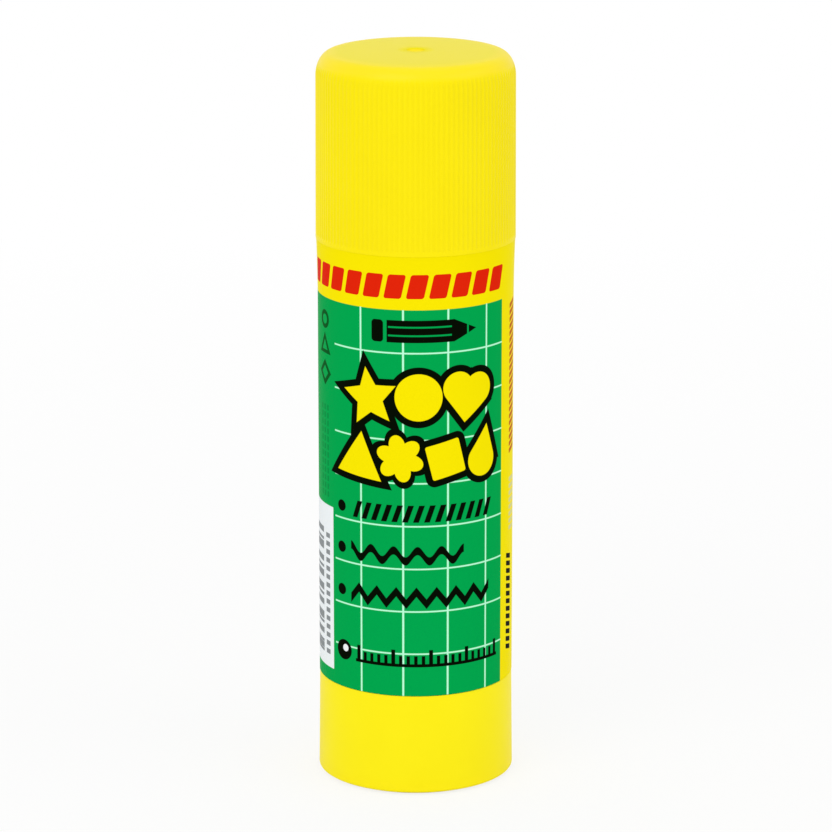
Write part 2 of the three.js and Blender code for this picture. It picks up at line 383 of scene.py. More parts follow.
# The cap's finish and its painted light: painted shade in the grooves between the ribs, a coarser
# skin on the crown painted a darker yellow as shade, a thin gloss from the shoulder up with a paler
# sheen painted on the shoulder, a painted glint on the gate mark, and a duller ring round the mark.
def crownFinishAndPaintedLight(graph, place, crown, color, rough, height):
    z, radius = graph.split(place)[2:]
    wall = crown["wallTop"] + (crown["shoulder"] - z).most(0) * crown["draft"]
    # Painted shade: the grooves between the ribs are given a darker base colour.
    groove = ((wall - radius) / crown["ribDepth"]).clamped() * (radius > crown["inner"])
    groove = groove * (crown["ribHigh"] - z).clamped()
    color = graph.mix(groove, color, graph.mix(1, color, crown["grooveShade"], "MULTIPLY"))
    top = ((crown["radius"] - radius) / crown["blend"]).clamped()
    top = top * ((z - crown["low"]) / crown["lowBlend"]).clamped() * (radius > crown["mark"])
    # Painted light in the base colour: the shoulder is painted a paler, bluer yellow as sheen, and
    # the crown a darker yellow as shade.
    bend = ((z - crown["ribHigh"]) / crown["bendReach"] + crown["bendStart"]).clamped()
    color = graph.mix(top, graph.mix(bend, color, crown["shoulderSheen"]), crown["color"])
    # Painted glint: the gate mark is painted a paler yellow.
    color = graph.mix(radius < crown["mark"], color, crown["markGlint"])
    land = ((radius - crown["mark"]) / crown["land"]).clamped()
    rough = rough + top * crown["roughness"] + (1 - land) * crown["blush"]
    grain = graph.noise(place, crown["grainScale"], 4, 0.7)
    return color, rough, height + top * grain * crown["grainDepth"], bend * land * crown["coat"]


# Moulded plastic: an uneven tone, the fine skin of the mould, and light rubbing along its length.
def mouldedPlastic(name, look, crown=None):
    material, graph = newMaterial(name)
    place = placeInMm(graph)
    cloud = graph.noise(place, look["cloudScale"])
    tone = (cloud - look["cloudFrom"]) * look["cloudContrast"]
    color = graph.mix(tone, look["color"], look["deepColor"])
    rubbed = graph.noise(graph.stretched(place, look["rubStretch"]), look["rubScale"], 4, 0.65)
    worn = ((rubbed - look["rubFrom"]) * look["rubContrast"]).clamped()
    rough = look["roughness"] + (cloud - 0.5) * look["cloudRoughness"] + worn * look["rubRoughness"]
    height = graph.noise(place, look["skinScale"], 3, 0.6) * look["skinDepth"]
    coat = 0
    if crown:
        color, rough, height, coat = crownFinishAndPaintedLight(graph, place, crown, color, rough, height)
    return surfaceOf(material, graph, height, {
        "Base Color": color, "Roughness": rough, "IOR": look["ior"],
        "Specular IOR Level": look["gloss"], "Coat Weight": coat,
        "Coat Roughness": look["coatRoughness"],
    })


plasticLook = {
    "ior": 1.49,
    "coatRoughness": 0.35,
    "cloudFrom": 0.35,
    "cloudContrast": 3,
    "cloudRoughness": 0.05,
    "skinDepth": 0.004,
    "rubScale": 0.5,
    "rubStretch": (3, 3, 0.35),
    "rubFrom": 0.56,
    "rubContrast": 2,
    "rubRoughness": 0.12,
}
yellowLook = {
    **plasticLook,
    "color": (0.960, 0.802, 0.0015),
    "deepColor": (0.946, 0.786, 0.001),
    "roughness": 0.36,
    "gloss": 0.08,
    "cloudScale": 0.12,
    "skinScale": 4,
}
whiteLook = {
    **plasticLook,
    "color": (0.860, 0.850, 0.800),
    "deepColor": (0.820, 0.810, 0.755),
    "roughness": 0.42,
    "gloss": 0.4,
    "cloudScale": 0.15,
    "skinScale": 8,
}


# Cap
capSizes = {
    "rimRadius": reach("cap"),
    "draft": 0.09,
    "wall": 1.28,
    "crownThickness": 1.35,
    "crownRise": 0.26,
    "crownJoin": 84,  # where the crown runs into the shoulder, in degrees round its arc
    "crownPower": 12,  # the higher, the nearer to the shoulder the shallow dome rolls over
    "crownRings": 14,
    "shoulderDrop": 3.2,
    "shoulderReach": 2.1,
    "shoulderSteps": 20,
    "insideJoin": 80,
    "insideSteps": 6,
    "markRadius": 1,
    "markDepth": 0.4,
    "markSlope": 0.25,
    "plainRim": 0.4,
    "leadIn": 0.3,
    "sidesPerRib": 8,
    "ribs": 120,
    "ribDepth": 0.09,
    "below": 0.03,  # the rim reaches down to the film, so that the seam is a fine line
    "ribRunOut": 0.35,
    "ribRunOutAbove": 0.7,
    "runOutRows": 4,
    "ribsBelowCrown": 1.45,
    "stops": {"count": 8, "width": 1, "edge": 0.25},
    "stopReach": 1.3,
    "seat": 0.2,  # between the neck's rim and the stops
}
crownLook = {
    "past": 1.4,  # how far beyond the crown its skin runs out, over the width of the blend
    "blend": 2.4,
    "below": 1,
    "lowBlend": 0.1,
    "bendReach": 0.7,
    "bendStart": 0.6,
    # the crown's darker yellow, painted shade
    "color": (0.855, 0.740, 0.002),
    # a paler, bluer yellow painted on the shoulder as sheen
    "shoulderSheen": (0.955, 0.768, 0.009),
    # painted shade in the grooves between the ribs
    "grooveShade": (0.965, 0.962, 0.95),
    "coat": 0.14,
    "land": 1.6,  # the duller skin round the mark
    "blush": 0.2,
    # a paler yellow painted on the gate mark as a glint
    "markGlint": (0.955, 0.775, 0.03),
    "markEdge": 0.15,
    "roughness": 0.1,
    "grainScale": 5,
    "grainDepth": 0.012,
}


def makeCap(size):
    fall, bow = size["shoulderDrop"], size["shoulderReach"]
    topRadius = size["rimRadius"] - size["draft"]
    inner = size["rimRadius"] - size["wall"]
    midWall = inner + size["wall"] / 2
    crownEdge = capTop - size["crownRise"]
    crownRadius = topRadius - bow
    shoulder = crownEdge - fall
    inside = crownEdge - size["crownThickness"]
    mark, markFloor = size["markRadius"], capTop - size["markDepth"]
    low, leadIn = capLow - size["below"], size["leadIn"]
    ribLow, ribHigh = low + size["plainRim"], crownEdge - size["ribsBelowCrown"]
    runOut, runOutAbove, rows = size["ribRunOut"], size["ribRunOutAbove"], size["runOutRows"]

    join = math.radians(size["crownJoin"])
    joinRadius = crownRadius + bow * math.cos(join)
    joinDrop = capTop - shoulder - fall * math.sin(join)
    joinSlope = fall / bow / math.tan(join)
    power, rings = size["crownPower"], size["crownRings"]
    roll = (joinSlope * joinRadius - 2 * joinDrop) / (power - 2)
    crown = [(joinRadius * math.sqrt(share),
              capTop - (joinDrop - roll) * share - roll * share ** (power / 2), 0)
             for share in (k / rings for k in range(rings - 1, 0, -1))]

    def wallAt(height):  # the wall widens downwards
        share = (shoulder - height) / (shoulder - low)
        return topRadius + size["draft"] * share, height, 0

    below = [ribLow + runOut * k / rows for k in range(rows + 1)]
    above = [ribHigh - runOutAbove * k / rows for k in range(rows, -1, -1)]
    corners = [
        (0, inside, 0),
        (inner - bow, inside, 0),
        *arc(inner - bow, inside - bow, bow, bow, size["insideJoin"], 0, size["insideSteps"]),
        (inner, low + 2 * leadIn, leadIn),
        (inner + leadIn, low, 0.12),
        (size["rimRadius"], low, 0),
        *[wallAt(height) for height in below + above if height < shoulder],
        *arc(crownRadius, shoulder, bow, fall, 0, size["crownJoin"], size["shoulderSteps"]),
        *crown,
        (mark + size["markSlope"], capTop, 0.2),
        (mark, markFloor, 0.15),
        (0, markFloor, 0),
    ]
    material = mouldedPlastic("capYellow", yellowLook, {
        **crownLook, "radius": crownRadius + crownLook["past"], "wallTop": topRadius,
        "low": crownEdge - crownLook["below"], "mark": mark + crownLook["markEdge"],
        "shoulder": shoulder, "draft": size["draft"] / (shoulder - low), "inner": midWall,
        "ribDepth": size["ribDepth"], "ribHigh": ribHigh,
    })
    piece = turned("ribbed_cap", rounded(corners), size["ribs"] * size["sidesPerRib"])
    ridged(piece, material, {
        "Ridges": size["ribs"], "Turns Per Metre": 0, "Power": 2, "Steepness": 1, "Root": 0,
    }, {
        "Depth": size["ribDepth"], "Low": ribLow, "High": ribHigh, "Run Out Below": runOut,
        "Run Out Above": runOutAbove, "Inner Limit": midWall,
    })
    walled(piece, material, size["stops"], inner - size["stopReach"], inner + sunk,
           rim + size["seat"], inside + sunk)
    return smoothed(piece)


# Barrel
barrelSizes = {
    "radius": reach("barrel"),
    "edge": 0.3,
    "shoulder": 76.46,
    "neckRadius": 12.17,
    "neckWall": 1.15,
    "neckEdge": 0.4,
    "beadRadius": 12.42,
    "beadHeight": 1.2,
    "beads": (79.38, 88.28),
    "floorLow": 19.58,
    "floorTop": 20.98,
    "holeRadius": 3.5,
    "guides": {"count": 4, "width": 1.4, "edge": 0.3},
    "guideDepth": 0.45,
    "guideSunk": 0.5,
    "guideTop": 88.98,
    "notchSlope": 0.1,
}


def makeBarrel(size):
    bore = size["neckRadius"] - size["neckWall"]
    neck = size["neckRadius"]
    beads = []
    half = size["beadHeight"] / 2
    for middle in size["beads"]:
        beads += [(neck, middle - half, 0.3), (size["beadRadius"], middle, 0.5),
                  (neck, middle + half, 0.3)]
    corners = [
        (bore, barrelLow, 0.15),
        (size["radius"], barrelLow, size["edge"]),
        (size["radius"], size["shoulder"], size["edge"]),
        (neck, size["shoulder"], 0.35),
        *beads,
        (neck, rim, size["neckEdge"]),
        (bore, rim, 0.3),
        (bore, size["floorTop"], 0.25),
        (size["holeRadius"], size["floorTop"], 0.1),
        (size["holeRadius"], size["floorLow"], 0.1),
        (bore, size["floorLow"], 0.25),
    ]
    material = mouldedPlastic("barrelYellow", yellowLook)
    piece = turned("barrel_tube", rounded(corners, closed=True), 192, closed=True)
    walled(piece, material, size["guides"], bore - size["guideDepth"], bore + size["guideSunk"],
           size["floorTop"] - sunk, size["guideTop"])
    return smoothed(piece)


# Notches up the outside of a piece in the bore, one for each guide rib, over its whole height.
def notched(piece, material, radius, play):
    guides, slope = barrelSizes["guides"], barrelSizes["notchSlope"]
    count, half = guides["count"], guides["width"] / 2 + play
    floor = barrelSizes["neckRadius"] - barrelSizes["neckWall"] - barrelSizes["guideDepth"] - play
    root, full = (math.sin(count * side / radius / 2) for side in (half, half + slope))
    ridged(piece, material, {
        "Ridges": count, "Turned": 0.5 / count, "Power": 1, "Root": root,
        "Steepness": 1 / (full - root),
    }, {
        "Depth": radius - floor, "Low": screwLow, "High": capTop, "Run Out Below": 1,
        "Run Out Above": 1, "Inner Limit": floor,
    })


# Turning base
baseSizes = {
    "topRadius": 13.46,
    "lowRadius": reach("turning_base"),
    "top": 14.41,
    "corner": 0.4,
    "wall": 1.25,
    "footRadius": 12.35,
    "footWidth": 0.4,
    "footHeight": 0.32,
    "footSlope": 0.3,
    "footFlare": 0.1,
    "dish": 0.8,
    "gateRadius": 0.9,
    "gateSlope": 0.2,
    "gateDepth": 0.15,
    "floor": 1.4,
    "spigotRadius": 10.72,
    "spigotWall": 0.9,
    "spigotTop": 18.58,
    "hubRadius": 4.6,
    "socketRadius": 2.95,
    "socketFloor": 1.1,
    "ribs": {"count": 8, "width": 1, "edge": 0.2},
    "ribTop": 9,
}


def makeBase(size):
    inner = size["topRadius"] - size["wall"]
    dish, foot = size["dish"], size["footHeight"]
    inside = dish + size["floor"]
    footIn = size["footRadius"] - size["footWidth"] / 2
    footOut = size["footRadius"] + size["footWidth"] / 2
    gate, gateFloor = size["gateRadius"], dish + size["gateDepth"]
    spigot, spigotIn = size["spigotRadius"], size["spigotRadius"] - size["spigotWall"]
    socket, socketFloor = size["socketRadius"], inside + size["socketFloor"]
    corners = [
        (0, gateFloor, 0),
        (gate - size["gateSlope"], gateFloor, 0.1),
        (gate, dish, 0.1),
        (footIn - size["footSlope"], dish, 0.3),
        (footIn, 0, 0.1),
        (footOut, 0, 0.1),
        (footOut + size["footFlare"], foot, 0.1),
        (size["lowRadius"], foot, size["corner"]),
        (size["topRadius"], size["top"], 0.04),
        (inner, size["top"], 0.2),
        (inner, inside, 0.4),
        (spigot, inside, 0.4),
        (spigot, size["spigotTop"], 0.3),
        (spigotIn, size["spigotTop"], 0.3),
        (spigotIn, inside, 0.4),
        (size["hubRadius"], inside, 0.4),
        (size["hubRadius"], hubTop, 0.3),
        (socket, hubTop, 0.2),
        (socket, socketFloor, 0),
        (0, socketFloor, 0),
    ]
    material = mouldedPlastic("baseYellow", {
        **yellowLook, "color": (0.985, 0.850, 0.006), "deepColor": (0.975, 0.835, 0.005)})
    piece = turned("turned_base", rounded(corners), 192)
    walled(piece, material, size["ribs"], size["hubRadius"] - sunk, inner + sunk, inside - sunk,
           size["ribTop"])
    return smoothed(piece)


# Screw
screwSizes = {
    "crest": 2.9,
    "depth": 0.9,
    "starts": 2,
    "lead": 7.2,
    "ringsPerLead": 40,
    "flangeRadius": 5.2,
    "flangeLow": 21.13,
    "flangeTop": 22.33,
    "journalRadius": 3.3,
    "journalLow": 19.48,
    "tailRadius": 2.85,
    "tip": 1.2,
    "threadGap": 0.2,
    "threadRunOut": 0.6,
    "threadStart": 0.1,  # below the first ring of the thread
    "coreLimit": 1,
    "root": 0.36,
    "steepness": 2,
}


def makeScrew(size):
    crest, tail, journal = size["crest"], size["tailRadius"], size["journalRadius"]
    flange, flangeLow, flangeTop = size["flangeRadius"], size["flangeLow"], size["flangeTop"]
    threadLow, threadTop = flangeTop + size["threadGap"], screwTop - size["tip"]
    rings = int((threadTop - threadLow) / size["lead"] * size["ringsPerLead"])
    rows = [(crest, threadLow + (threadTop - threadLow) * k / rings, 0) for k in range(rings + 1)]
    corners = [
        (0, screwLow, 0),
        (tail, screwLow, 0.3),
        (tail, size["journalLow"], 0),
        (journal, size["journalLow"], 0.15),
        (journal, flangeLow, 0.1),
        (flange, flangeLow, 0.2),
        (flange, flangeTop, 0.2),
        (crest, flangeTop, 0),
        *rows,
        (crest - size["tip"], screwTop, 0.2),
        (0, screwTop, 0),
    ]
    material = mouldedPlastic("screwWhite", whiteLook)
    piece = turned("lifting_screw", rounded(corners), 48)
    ridged(piece, material, {
        "Ridges": size["starts"], "Turns Per Metre": 1 / (size["lead"] * mm), "Power": 1,
        "Steepness": size["steepness"], "Root": size["root"],
    }, {
        "Depth": size["depth"], "Low": threadLow - size["threadStart"], "High": screwTop + 1,
        "Run Out Below": size["threadRunOut"], "Run Out Above": size["threadRunOut"],
        "Inner Limit": size["coreLimit"],
    })
    return smoothed(piece)


# Carrier
carrierSizes = {
    "radius": 10.82,
    "wall": 1.1,
    "floor": 1.6,
    "skirtTop": 30.23,
    "nutRadius": 4.6,
    "boreRadius": 3.15,
    "groove": 0.2,
    "grooveEdge": 1.6,
    "grooveFloor": 1.4,
    "notchPlay": 0.2,
}


def makeCarrier(size):
    radius, skirtTop = size["radius"], size["skirtTop"]
    nut, bore = size["nutRadius"], size["boreRadius"]
    inner, grooved = radius - size["wall"], radius - size["groove"]
    floorTop = carrierLow + size["floor"]
    middle = (carrierLow + skirtTop) / 2
    corners = [
        (bore, carrierLow, 0.2),
        (radius, carrierLow, 0.2),
        (radius, middle - size["grooveEdge"], 0.1),
        (grooved, middle - size["grooveFloor"], 0.1),
        (grooved, middle + size["grooveFloor"], 0.1),
        (radius, middle + size["grooveEdge"], 0.1),
        (radius, skirtTop, 0.3),
        (inner, skirtTop, 0.3),
        (inner, floorTop, 0.4),
        (nut, floorTop, 0.4),
        (nut, nutTop, 0.3),
        (bore, nutTop, 0.2),
    ]
    piece = turned("carrier_cup", rounded(corners, closed=True), 360, closed=True)
    notched(piece, mouldedPlastic("carrierWhite", whiteLook), radius, size["notchPlay"])
    return smoothed(piece)


# Glue
glueSizes = {
    "radius": 10.9,
    "footRadius": 9.6,
    "nutRadius": 4.72,
    "boreRadius": 3.25,
    "boreTop": 86.4,
    "nutTop": 32.2,
    "skirtTop": 30.35,
    "edge": 0.7,
    "dome": 0.5,
    "domeRings": 8,
    "notchPlay": 0.12,
}
glueLook = {
    "color": (0.850, 0.835, 0.740),
    "deepColor": (0.800, 0.785, 0.680),
    "cloudScale": 0.25,
    "cloudFrom": 0.3,
    "cloudContrast": 2,
    "smearStretch": (0.5, 2.5, 1),
    "smearScale": 0.9,
    "smearDepth": 0.05,
    "smearRoughness": 0.22,
    "pitScale": 2.4,
    "pitDepth": 0.012,
    "roughness": 0.34,
}


def glueMaterial(look):
    material, graph = newMaterial("setGlue")
    place = placeInMm(graph)
    cloud = graph.noise(place, look["cloudScale"], 3)
    smear = graph.noise(graph.stretched(place, look["smearStretch"]), look["smearScale"], 4, 0.6)
    pits = graph.noise(place, look["pitScale"], 3, 0.7)
    tone = (cloud - look["cloudFrom"]) * look["cloudContrast"]
    height = smear * look["smearDepth"] + pits * look["pitDepth"]
    return surfaceOf(material, graph, height, {
        "Base Color": graph.mix(tone, look["color"], look["deepColor"]),
        "Roughness": look["roughness"] + smear * look["smearRoughness"], "IOR": 1.46,
        "Specular IOR Level": 0.45, "Subsurface Weight": 0.35, "Subsurface Scale": 0.0015,
        "Subsurface Radius": (1, 0.85, 0.6),
    })


def makeGlue(size):
    radius, foot, skirtTop = size["radius"], size["footRadius"], size["skirtTop"]
    nut, bore, rings = size["nutRadius"], size["boreRadius"], size["domeRings"]
    domeLow = glueTip - size["dome"]
    corners = [
        (0, size["boreTop"], 0),
        (bore, size["boreTop"], 0.2),
        (bore, size["nutTop"], 0),
        (nut, size["nutTop"], 0.2),
        (nut, glueLow, 0.2),
        (foot, glueLow, 0.3),
        (foot, skirtTop, 0.2),
        (radius, skirtTop, 0.2),
        (radius, domeLow - size["edge"], 0.5),
        (radius - size["edge"], domeLow, 0.4),
        *[(radius * k / rings, glueTip - size["dome"] * (k / rings) ** 2, 0)
          for k in range(rings - 1, 0, -1)],
        (0, glueTip, 0),
    ]
    piece = turned("cast_glue", rounded(corners), 360)
    notched(piece, glueMaterial(glueLook), radius, size["notchPlay"])
    return smoothed(piece)


# Film
filmSizes = {
    "thickness": 0.15,
    "slit": 0.4,
    "columns": 360,
    "rows": 64,
    "below": 0.14,
    "above": 0.205,
    "flare": 0.18,  # where the tube swells under the cap
    "flareHeight": 9,
    "lip": 0.06,
    "lipHeight": 0.7,
    "lipRows": 5,
}


# A closed sheet round the barrel. Its map runs from 0 to 1 round it, with the front at 0.5, and
# from 0 to 1 up it.
def makeFilm(size):
    half = math.pi - math.asin(size["slit"] / 2 / filmRadius)
    columns, plainRows, lipRows = size["columns"], size["rows"], size["lipRows"]
    rows, lipHeight = plainRows + lipRows, size["lipHeight"]
    low, high = filmLow - size["below"], filmTop + size["above"]
    lipLow = high - lipHeight
    levels = [low + (lipLow - low) * j / plainRows for j in range(plainRows)]
    levels += [lipLow + lipHeight * j / lipRows for j in range(lipRows + 1)]
    vertices, places = [], []
    for radius in (filmRadius, filmRadius - size["thickness"]):
        for height in levels:
            flare = max(0, 1 - (high - height) / size["flareHeight"]) ** 2 * size["flare"]
            flare += max(0, 1 - (high - height) / lipHeight) ** 2 * size["lip"]
            out = (radius + flare) * mm
            for i in range(columns + 1):
                angle = half * (2 * i / columns - 1)
                vertices.append((out * math.sin(angle), -out * math.cos(angle), height * mm))
                places.append((angle / (2 * math.pi) + 0.5, (height - low) / (high - low)))

    def at(i, j, inner):
        return (inner * (rows + 1) + j) * (columns + 1) + i

    faces = []
    for j in range(rows):
        for i in range(columns):
            quad = [(i, j), (i + 1, j), (i + 1, j + 1), (i, j + 1)]
            faces.append([at(*spot, 0) for spot in quad])
            faces.append([at(*spot, 1) for spot in reversed(quad)])
    edge = [(i, 0) for i in range(columns)] + [(columns, j) for j in range(rows)]
    edge += [(i, rows) for i in range(columns, 0, -1)] + [(0, j) for j in range(rows, 0, -1)]
    for here, there in zip(edge, edge[1:] + edge[:1]):
        faces.append([at(*here, 1), at(*there, 1), at(*there, 0), at(*here, 0)])
    piece = asPiece("printed_film", vertices, faces)
    wrap = piece.data.uv_layers.new(name="wrap")
    for loop in piece.data.loops:
        wrap.data[loop.index].uv = places[loop.vertex_index]
    piece.data.materials.append(filmMaterial(filmLook, low, high))
    return smoothed(piece)


# Print. A shape is a distance in millimetres, below 0 inside it, and paint makes a mask of it.
def paint(distance, softness=0.06):
    return (0.5 - distance / softness).clamped()


def disc(x, y, radius):
    return length(x, y) - radius


def block(x, y, left, right, low, high, rounding=0):
    dx = abs(x - (left + right) / 2) - (right - left) / 2
    dy = abs(y - (low + high) / 2) - (high - low) / 2
    return corner(dx, dy, rounding)


# Where two distances meet: the shape inside both, with its corner rounded.
def corner(dx, dy, rounding):
    if not rounding:
        return dx.most(dy)
    dx, dy = dx + rounding, dy + rounding
    return length(dx.most(0), dy.most(0)) + dx.most(dy).least(0) - rounding


# One shape that covers all of them.
def joined(shapes):
    whole, *others = shapes
    for shape in others:
        whole = whole.least(shape)
    return whole


# A row of bars across a line. They start at a place on it, a pitch apart.
def comb(along, start, pitch, count, width):
    bars = abs((along - (start + pitch / 2)).folded(pitch)) - width / 2
    whole = abs(along - (start + pitch * count / 2)) - pitch * count / 2
    return bars.most(whole)


def tilted(x, y, degrees):
    c, s = math.cos(math.radians(degrees)), math.sin(math.radians(degrees))
    return x * c + y * s, y * c - x * s


def star(x, y, tip, dent, points=5):
    half = math.pi / points
    around = abs(x.math("ARCTAN2", y).folded(2 * half))
    distance = length(x, y)
    edge = Vector((dent * math.cos(half) - tip, dent * math.sin(half))).normalized()
    return (distance * around.cos() - tip) * edge.y - distance * around.sin() * edge.x


def flower(x, y, radius, petals, depth):
    wave = abs((x.math("ARCTAN2", y) * (petals / 2)).cos())
    return disc(x, y, radius) + (1 - wave) * depth


def heart(x, y, side):
    across, up = tilted(x, y, 45)
    half = side / 2
    square = abs(across).most(abs(up)) - half
    return square.least(disc(across, up - half, half)).least(disc(across - half, up, half))


def triangle(x, y, inner):
    turn = math.radians(60)
    return (abs(x) * math.sin(turn) + y * math.cos(turn)).most(-y) - inner


def drop(x, y, radius):
    slope = math.radians(28)
    point = abs(x) * math.cos(slope) + y * math.sin(slope)
    upper = (point - radius).most(radius * math.sin(slope) - y)
    return upper.least(disc(x, y, radius))


def sheet(x, y, width, height, fold):
    cut = (x + y) * math.sqrt(0.5) - (width / 2 + height / 2 - fold) * math.sqrt(0.5)
    return corner(abs(x) - width / 2, abs(y) - height / 2, 0.3).most(cut)


# How far round the film an azimuth lies, in millimetres from the front.
def wrapped(degrees):
    return math.radians(degrees) * filmRadius


# The tones are linear. They keep the print's own colours under a plain light.
inks = {
    "yellow": (0.930, 0.785, 0.001),
    "green": (0.0005, 0.370, 0.074),
    "deepGreen": (0.001, 0.095, 0.014),
    "dimGreen": (0.0005, 0.265, 0.054),
    "mint": (0.500, 0.985, 0.690),
    "red": (0.740, 0.018, 0.003),
    "rust": (0.560, 0.130, 0.006),
    "black": (0.002, 0.004, 0.001),
    "white": (0.850, 0.890, 0.910),
    "grey": (0.260, 0.280, 0.290),
    "pale": (0.700, 0.670, 0.300),
}
# Two green panels under a grid of pale lines.
panel = {
    "top": 69.19,
    "front": (-165, 60.6),
    "back": (97, 165),
    "columnStep": 26.35,
    "column": -7.3,
    "columnLine": 0.27,
    "rowTop": 63.18,
    "rowStep": 6.09,
    "rowLine": 0.22,
    "rowMiddle": 39.8,
    "rowReach": 24.4,
    "frontRows": (-55, 60.6),
    "leftRows": (-165, -118),
}


def panels(x, y):
    def area(name):
        return block(x, y, *map(wrapped, panel[name]), 0, panel["top"])

    green = area("front").least(area("back"))
    columns = abs((x - wrapped(panel["column"])).folded(wrapped(panel["columnStep"])))
    columns = columns - panel["columnLine"] / 2
    rows = abs((y - panel["rowTop"]).folded(panel["rowStep"])) - panel["rowLine"] / 2
    rows = rows.most(abs(y - panel["rowMiddle"]) - panel["rowReach"])
    ruled = joined(map(area, ("back", "frontRows", "leftRows")))
    return [(green, "green"), (columns.least(rows).most(ruled), "mint")]


# A row of slanted bars. It ends with the front panel, and starts again with the back one.
band = {
    "low": 70.75,
    "high": 74.1,
    "pitch": 3.12,
    "bar": 2.45,
    "slant": 0.22,
    "rounding": 0.35,
    "frontEnd": 60.6,
    "frontCount": 18,
    "backStart": 97,
    "backCount": 5,
}


def redBand(x, y):
    pitch, count = band["pitch"], band["frontCount"]
    middle = (band["low"] + band["high"]) / 2
    tall = abs(y - middle) - (band["high"] - band["low"]) / 2
    along = x - (y - middle) * band["slant"]
    front = comb(along, wrapped(band["frontEnd"]) - count * pitch, pitch, count, band["bar"])
    back = comb(along, wrapped(band["backStart"]), pitch, band["backCount"], band["bar"])
    return [(joined(corner(row, tall, band["rounding"]) for row in (front, back)), "red")]


pencil = {
    "tail": -6.2,
    "point": 8.8,
    "middle": 66.2,
    "half": 1.55,
    "rubber": 1.7,
    "rubberRounding": 0.5,
    "bodyStart": 2.2,
    "taper": 2.2,
    "taperShare": 0.41,  # makes what is measured along the tip a distance from its edge
    "overlap": 0.1,
    "lines": {"share": 0.38, "half": 0.12, "middle": 0.6, "reach": 4.4},
    "lead": {"length": 1.35, "half": 0.13},
}


def pencilMark(x, y):
    up, half = y - pencil["middle"], pencil["half"]
    tail, point, taper = pencil["tail"], pencil["point"], pencil["taper"]
    lines, lead = pencil["lines"], pencil["lead"]
    neck = point - half * taper
    rubber = block(x, up, tail, tail + pencil["rubber"], -half, half, pencil["rubberRounding"])
    body = block(x, up, tail + pencil["bodyStart"], neck, -half, half)
    tip = (abs(up) * taper + x - point) * pencil["taperShare"]
    tip = tip.most(neck - pencil["overlap"] - x)
    grooves = abs(abs(up) - half * lines["share"]) - lines["half"]
    grooves = grooves.most(abs(x - lines["middle"]) - lines["reach"])
    ring = (abs(x - (point - lead["length"])) - lead["half"]).most(tip)
    return [(joined([rubber, body, tip]), "black"), (grooves.least(ring), "green")]


# Bright cut-out shapes in one thick outline: what each is, its middle, its tilt and its sizes.
cutouts = {
    "outline": 0.95,
    "shapes": [
        (star, -6.6, 56.7, 8, 4.3, 2.05),
        (disc, 0.4, 57.0, 0, 3.3),
        (heart, 7.4, 56.3, -8, 4.5),
        (triangle, -8.3, 47.5, -6, 2.15),
        (flower, -2.2, 48.4, 12, 3.35, 6, 1.1),
        (block, 4.2, 48.2, 14, -2.45, 2.45, -2.45, 2.45, 0.3),
        (drop, 9.9, 47.5, -10, 2.35),
        (flower, wrapped(131), 54.0, 12, 5.6, 9, 1.0),
        (sheet, wrapped(114), 40.5, 10, 5.2, 6.6, 1.6),
        (heart, wrapped(147), 38.5, 6, 4.2),
        (star, wrapped(-141), 57.0, 8, 4.6, 2.2),
    ],
}


def cutOut(x, y):
    whole = joined(shape(*tilted(x - across, y - up, degrees), *sizes)
                   for shape, across, up, degrees, *sizes in cutouts["shapes"])
    return [(whole - cutouts["outline"], "black"), (whole, "yellow")]


# Three points, each with a line of its own pattern.
notes = {
    "left": -9.7,
    "line": 0.85,
    "dotX": -11.5,
    "dot": 0.8,
    "dotHeights": (40.6, 34.7, 28.6),
    "dashes": {"middle": 40.6, "height": 2.4, "slant": 0.35, "inset": 0.4},
    "dashRow": (1.5, 14, 0.8),  # pitch, count and width
    "wave": {"middle": 34.6, "pitch": 3.32, "swing": 0.75, "thin": 0.72, "across": (-1.4, 8.3)},
    "zigzag": {"middle": 28.6, "pitch": 2.8, "swing": 1.25, "thin": 0.62, "across": (0.8, 10.5)},
}


def noteLines(x, y):
    dashes, wave, zigzag = notes["dashes"], notes["wave"], notes["zigzag"]
    shapes = [disc(x - notes["dotX"], y - height, notes["dot"]) for height in notes["dotHeights"]]
    up = y - dashes["middle"]
    row = comb(x - up * dashes["slant"], notes["left"] + dashes["inset"], *notes["dashRow"])
    shapes.append(row.most(abs(up) - dashes["height"] / 2))
    along = x - notes["left"]
    rise = (along * (2 * math.pi / wave["pitch"])).cos() * wave["swing"]
    teeth = (abs(along.folded(zigzag["pitch"])) - zigzag["pitch"] / 4) * zigzag["swing"]
    for about, bent in ((wave, rise), (zigzag, teeth)):
        middle, reach = about["across"]  # the line's middle and half its length
        line = abs((y - about["middle"]) - bent) * about["thin"] - notes["line"] / 2
        shapes.append(line.most(abs(x - middle) - reach))
    return [(shape, "black") for shape in shapes]


# A rule along the bottom, with a badge at its start.
rule = {
    "middle": 19.9,
    "start": -8.9,
    "pitch": 1.05,
    "ticks": 21,
    "tick": {"width": 0.48, "down": 0.35, "half": 0.7},
    "longTick": {"width": 0.55, "every": 5, "half": 1.2},
    "base": (-1.25, -0.8),
    "badgeX": -11.1,
    "badge": 1.45,
    "dotAside": 0.3,
    "dotShare": 0.36,
}


def bottomRule(x, y):
    tick, longTick, aside = rule["tick"], rule["longTick"], rule["dotAside"]
    up, place = y - rule["middle"], x - rule["badgeX"]
    start, pitch, count, every = rule["start"], rule["pitch"], rule["ticks"], longTick["every"]
    half = pitch * count / 2
    small = comb(x, start, pitch, count, tick["width"])
    small = small.most(abs(up + tick["down"]) - tick["half"])
    tall = comb(x, start - pitch * (every // 2), pitch * every, math.ceil(count / every),
                longTick["width"])
    tall = tall.most(abs(up) - longTick["half"]).most(abs(x - start - half) - half)
    base = block(x, up, start, start + 2 * half, *rule["base"])
    badge = disc(place, up, rule["badge"])
    dot = disc(place - aside, up - aside, rule["badge"] * rule["dotShare"])
    return [(joined([small, tall, base, badge]), "black"), (dot, "white")]


